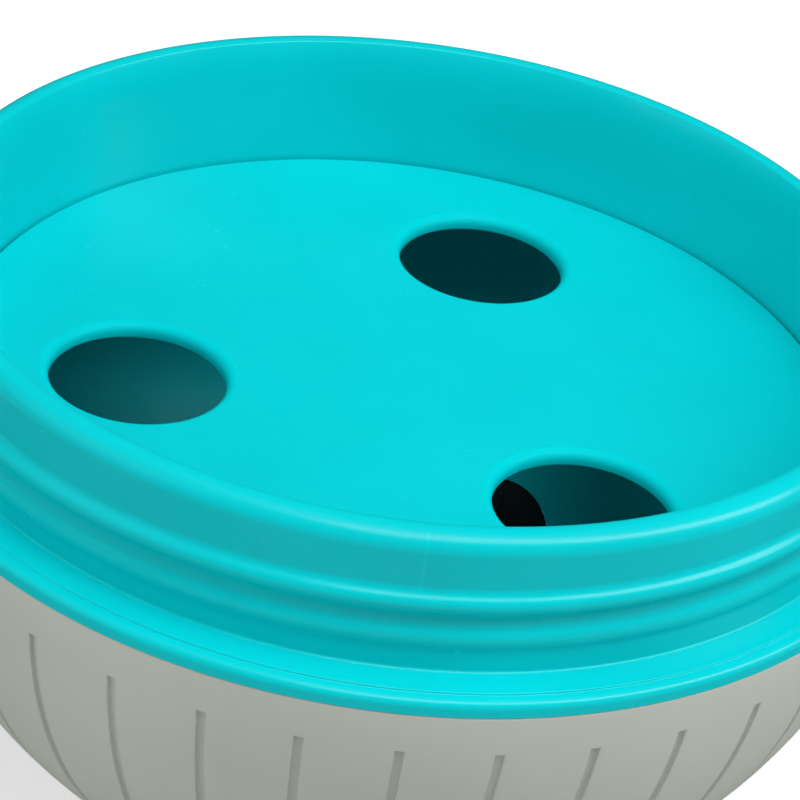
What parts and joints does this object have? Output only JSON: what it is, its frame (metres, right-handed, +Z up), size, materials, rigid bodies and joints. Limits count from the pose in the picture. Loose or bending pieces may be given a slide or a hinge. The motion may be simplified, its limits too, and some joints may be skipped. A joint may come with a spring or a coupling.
{
  "type": "treat ball",
  "caption": "Screw-together treat ball lying open: grooved grip shells over inner bowls, a threaded collar, a divider with round holes and a slit valve in the exit port.",
  "frame": {"origin": "middle of the lower half's foot, on the surface that it stands on", "axes": "+Z up along the axis of the lower half, +X from the upper half that lies open towards the lower half"},
  "size_m": [0.298, 0.127, 0.0777],
  "materials": {
    "turquoise_plastic": "satin moulded plastic",
    "grip_grey": "matt soft-touch",
    "black_rubber": "matt soft rubber"
  },
  "bodies": {
    "lower_half": {"lower_grip_shell": "grip_grey", "lower_bowl": "turquoise_plastic", "port_valve": "black_rubber", "thread_collar": "turquoise_plastic"},
    "divider": {"divider_plate": "turquoise_plastic"},
    "upper_half": {"upper_grip_shell": "grip_grey", "upper_bowl": "turquoise_plastic"}
  },
  "joints": [
    {"name": "divider_lift", "type": "slide", "parent": "lower_half", "child": "divider", "axis": [0, 0, 1], "range_m": [0, 0.02]},
    {"name": "upper_half_swing", "type": "hinge", "parent": "lower_half", "child": "upper_half", "pos_m": [-0.0855, 0, 0.0609], "axis": [0, 1, 0], "range_deg": [0, 180]}
  ]
}
